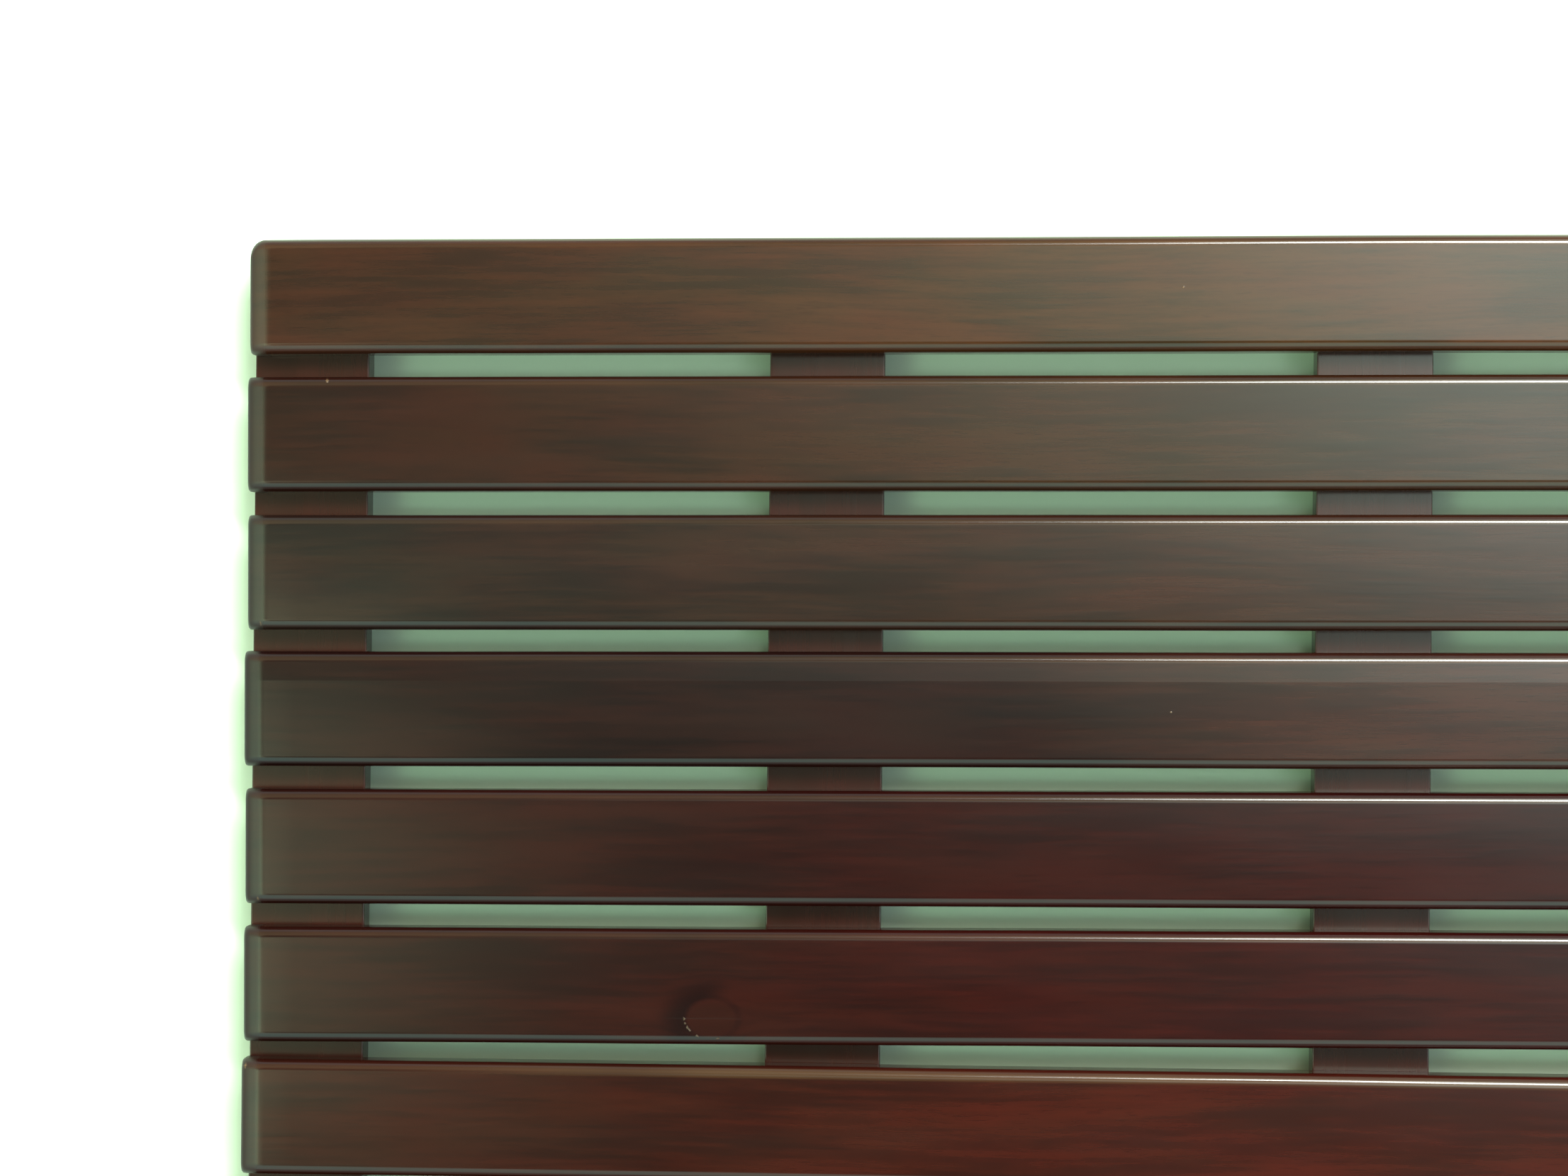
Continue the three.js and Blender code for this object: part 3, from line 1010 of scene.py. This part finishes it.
def bare_and_glint_share(tree, place, knot, off_ring):
    """How bare the wood is on chips and nicks, together with pale glints along the knot's ring that are
    painted highlights.
    """
    ragged = (noise(tree, place, 900.0) - 0.5) * 1.6 * MM
    chip = attribute(tree, "chip", "Vector").maths("MULTIPLY", (1.4, 0.8, 0.6)).maths("LENGTH") + ragged
    nick = attribute(tree, "nick", "Vector").maths("LENGTH") + ragged * 0.4
    along, across, _ = separate(knot)
    low_left = fade(along * 0.5 + across, -4.0 * MM, -2.0 * MM)
    broken = ramp(noise(tree, place, 800.0, detail=0.0), 0.57, 0.66)
    # Glints along the lower left of the knot's ring are painted highlights.
    painted_glint = fade(off_ring, 0.0, 0.06, level=0.4) * low_left * broken
    bare = fade(chip, 0.2 * MM, 0.9 * MM).maths("MAXIMUM", fade(nick, 0.1 * MM, 0.4 * MM))
    return bare.maths("MAXIMUM", painted_glint)


print("marks ready")

# %% [markdown]
# ### Lacquer over it all
# The shine wanders a little where feet have rubbed it, and end grain and bare wood are duller. A slight
# relief lets the fibres catch the light, and tips the band of one slat that the planer left out of flat.

# %% The slats' and battens' wood
PLANED_SLOPE = 0.024


def wood(name, length, width, contrast, roughness):
    """Stained wood under satin lacquer, laid out in each board's own coordinates."""
    material, tree, shader = new_material(name, IOR=1.5)
    board, stain, knot = (attribute(tree, part, "Vector") for part in ("board", "stain", "knot"))
    along, across, _ = separate(board)
    to_side = width * 0.5 - across.maths("ABSOLUTE")
    to_end = length * 0.5 - along.maths("ABSOLUTE")
    oval = knot.maths("MULTIPLY", (1 / KNOT_LONG, 1 / KNOT_WIDE, 0.0)).maths("LENGTH")
    off_ring = (oval - 1.0).maths("ABSOLUTE")

    figure = board_figure(tree, board, knot)
    paint = stain_paint(tree, stain, figure, contrast)
    paint = edge_stain_and_end_reflection(tree, paint, stain, to_side, to_end)
    # A tan band along the back edge of one slat is a painted highlight.
    rubbed = highlight_share(tree, along / length, width * 0.5 - across, figure["hue"])
    paint = mix(tree, rubbed, paint, HIGHLIGHT_TAN)
    paint = knot_paint(tree, paint, stain, knot, oval, off_ring)
    bare = bare_and_glint_share(tree, figure["place"], knot, off_ring)
    # Chips and nicks show bare wood, and the knot's glints are painted highlights in the same pale colour.
    join(tree, shader.inputs["Base Color"], mix(tree, bare * 0.8, paint, BARE_WOOD_AND_GLINT))

    end_grain = fade(to_end, 4.5 * MM, 7.0 * MM, level=0.26)
    shine = roughness + (figure["rub"] - 0.5) * 0.08 + bare * 0.4 + end_grain
    join(tree, shader.inputs["Roughness"], shine)

    facet = (across - attribute(tree, "planed")).maths("MAXIMUM", 0.0) * PLANED_SLOPE / MM
    relief = figure["fibres"] * 0.002 + figure["bands"] * 0.008 + figure["broad"] * 0.03
    bump = add(tree, "ShaderNodeBump", Strength=1.0, Distance=MM, Height=relief - bare * 0.1 + facet)
    join(tree, shader.inputs["Normal"], bump)
    return material


slat_wood = wood("slat wood", slat_length, slat_width, contrast=0.85, roughness=0.16)
batten_wood = wood("batten wood", batten_length, batten_width, contrast=0.25, roughness=0.20)
wear(slats, slat_wood)
wear(battens, batten_wood)
print("wood with", len(slat_wood.node_tree.nodes), "nodes")

# %% [markdown]
# ## Steel
# Under the mat are stainless screws, a plain metal with faint smears, so one noise moves both colour and
# shine.

# %% Steel
screw_steel, tree, shader = new_material("screw steel", Metallic=1.0)
spot = add(tree, "ShaderNodeTexCoord", output="Object")
smear = noise(tree, spot, 900.0, detail=3.0)
metal = mix(tree, smear, colour(0.50, 0.50, 0.49), colour(0.66, 0.66, 0.64))
join(tree, shader.inputs["Base Color"], metal)
join(tree, shader.inputs["Roughness"], 0.22 + smear * 0.18)
wear(screws, screw_steel)
print("steel on", len(screws), "rows of screws")

# %% [markdown]
# ## Rubber
# The feet are soft rubber, nearly black and dull, with a little dust and a fine grit that breaks up the
# shine.

# %% Rubber
foot_rubber, tree, shader = new_material("foot rubber", IOR=1.5)
spot = add(tree, "ShaderNodeTexCoord", output="Object")
dust = noise(tree, spot, 350.0, detail=4.0, roughness=0.6)
grit = noise(tree, spot, 3500.0)
dusty = mix(tree, ramp(dust, 0.35, 0.75), colour(0.014, 0.014, 0.015), colour(0.040, 0.039, 0.037))
join(tree, shader.inputs["Base Color"], dusty)
join(tree, shader.inputs["Roughness"], 0.62 + dust * 0.25)
bump = add(tree, "ShaderNodeBump", Strength=1.0, Distance=MM, Height=grit * 0.02 + dust * 0.02)
join(tree, shader.inputs["Normal"], bump)
wear(feet, foot_rubber)
print("rubber on", len(feet), "feet")

# %% [markdown]
# ## A pale floor
# The floor is bright enough to bleach to white in the open, and only the light that finds its way down
# between the slats shows its true tint.

# %% The floor
bpy.ops.mesh.primitive_plane_add(size=8.0, location=(0.0, 0.0, 0.0))
floor = bpy.context.active_object
floor.name = "floor"
floor_paint, tree, shader = new_material("floor paint", IOR=1.45, Roughness=0.6)
spot = add(tree, "ShaderNodeTexCoord", output="Object")
pale = mix(tree, noise(tree, spot, 6.0), colour(0.73, 0.89, 0.74), colour(0.75, 0.91, 0.76))
join(tree, shader.inputs["Base Color"], pale)
floor.data.materials.append(floor_paint)
print("floor laid")

# %% [markdown]
# ## Light
# In satin lacquer the light is half of the colour. The room is a dome, and a spot on it is given by its
# slope: how far to the right and to the back a line leans out from straight up. A bright patch is a soft
# hump around one slope.

# %% Directions in the room
world = bpy.data.worlds.new("studio")
bpy.context.scene.world = world
world.use_nodes = True
tree = world.node_tree
tree.nodes.clear()
x, y, z = separate(add(tree, "ShaderNodeTexCoord"))
up = z.maths("MAXIMUM", 0.05)
slope_x, slope_y = x / up, y / up
from_zenith = (slope_x * slope_x + slope_y * slope_y).maths("SQRT")
lean = from_zenith.maths("MAXIMUM", 0.001)
to_back = slope_y / lean
back = to_back.maths("MAXIMUM", 0.0)
front = (to_back * -1.0).maths("MAXIMUM", 0.0)
left = (slope_x / lean * -1.0).maths("MAXIMUM", 0.0)


def glow(peak, at_x, at_y, wide_x, wide_y):
    """A soft bright patch overhead, placed by its slope from straight up."""
    far_x = (slope_x - at_x) / wide_x
    far_y = (slope_y - at_y) / wide_y
    return ((far_x * far_x + far_y * far_y) * -1.0).maths("EXPONENT") * peak


print("directions ready")

# %% [markdown]
# ### How bright it is
# Straight overhead is a dark patch, where the person looking down stands. There is a broad bright side to
# the right and a small one to the left. A patch round the back draws thin white lines along the slats' far
# edges, and two at the sides shine into the gaps. Near the horizon the room is plain.

# %% Brightness of the room
broad_side = glow(peak=17.0, at_x=0.47, at_y=0.17, wide_x=0.31, wide_y=0.16).maths("MINIMUM", 5.5)
broad_side = broad_side * fade(slope_x, 0.22, 0.40)
small_side = glow(peak=2.6, at_x=-0.242, at_y=-0.075, wide_x=0.07, wide_y=0.075)
far_window = glow(peak=10.0, at_x=0.50, at_y=1.05, wide_x=0.30, wide_y=0.45)
right_gaps = glow(peak=11.5, at_x=0.70, at_y=-0.14, wide_x=0.22, wide_y=0.08)
left_gaps = glow(peak=12.5, at_x=-0.70, at_y=-0.13, wide_x=0.22, wide_y=0.08)
onlooker = 1.0 - glow(peak=0.65, at_x=0.03, at_y=-0.07, wide_x=0.10, wide_y=0.07)
front_level = front * ramp(slope_x, -0.15, 0.25, 1.4, 2.4)
walls = ramp(from_zenith, 0.28, 0.50) * (front_level + back * 0.6 + left * 1.5)
patches = broad_side + small_side + far_window + (right_gaps + left_gaps) + walls
overhead = patches * onlooker
high_up = ramp(z, 0.30, 0.62)
level = overhead * high_up + (1.0 - high_up) * (0.9 - front * 0.5)
print("brightness ready")

# %% [markdown]
# ### What colour it is
# The light is faintly green, greener at the far left and in front, and warm towards the back. Near the
# horizon it is almost neutral, so that the mat keeps its red when it is seen from the side.

# %% Tint of the room
to_right = ramp(slope_x, 0.06, 0.17)
to_left = fade(slope_x, -0.17, -0.08)
far_left = fade(slope_x, -0.60, -0.30)
in_front = fade(slope_y, -0.45, -0.25)
warm_back = ramp(slope_y, 0.12, 0.28) * fade(slope_x, 0.10, 0.40)
tint = mix(tree, to_right, colour(0.86, 1.0, 0.82), colour(0.80, 1.0, 0.92))
tint = mix(tree, to_left, tint, colour(0.90, 1.0, 0.64))
tint = mix(tree, far_left, tint, colour(0.62, 1.0, 0.62))
tint = mix(tree, in_front, tint, colour(0.60, 1.0, 0.86))
tint = mix(tree, warm_back, tint, colour(1.0, 0.78, 0.42))
tint = mix(tree, high_up, colour(0.94, 1.0, 0.92), tint)
background = add(tree, "ShaderNodeBackground", Color=tint, Strength=level)
output = tree.nodes.new("ShaderNodeOutputWorld")
tree.links.new(background.socket, output.inputs["Surface"])
print("room lit with", len(tree.nodes), "nodes")

# %% [markdown]
# ### The window
# A dome has no edge anywhere. One real window behind and to the right adds a light with a shape, which
# throws soft shadows into the gaps.

# %% The window
window = bpy.data.lights.new("window", "AREA")
window.shape = "RECTANGLE"
window.size, window.size_y = 1.6, 0.7
window.energy = 140.0
window.color = (0.95, 1.0, 0.95)
lamp = bpy.data.objects.new("window", window)
lamp.location = (0.95, 1.43, 2.6)
to_mat = Vector() - lamp.location
lamp.rotation_euler = to_mat.to_track_quat("-Z", "Y").to_euler()
bpy.context.scene.collection.objects.link(lamp)
print("window hung", round(to_mat.length, 2), "m from the mat")

# %% [markdown]
# ## Camera
# The mat is seen from about a metre and a quarter above, almost straight down, with its far left corner in
# view.

# %% The camera
camera_data = bpy.data.cameras.new("camera")
camera_data.sensor_width = 36.0
camera_data.lens = 79.49
camera = bpy.data.objects.new("camera", camera_data)
camera.location = (-0.0527, 0.0566, 1.2365)
camera.rotation_euler = (math.radians(0.50), math.radians(2.70), math.radians(0.06))
bpy.context.scene.collection.objects.link(camera)
bpy.context.scene.camera = camera
bpy.context.scene.view_settings.view_transform = "Standard"
bpy.context.scene.view_settings.look = "None"
print("camera at", tuple(camera.location))

# %% [markdown]
# ## Check the size
# The finished pieces should be no bigger than the design they dress. The last step brings the view layer
# up to date.

# %% Finish
bpy.context.view_layer.update()
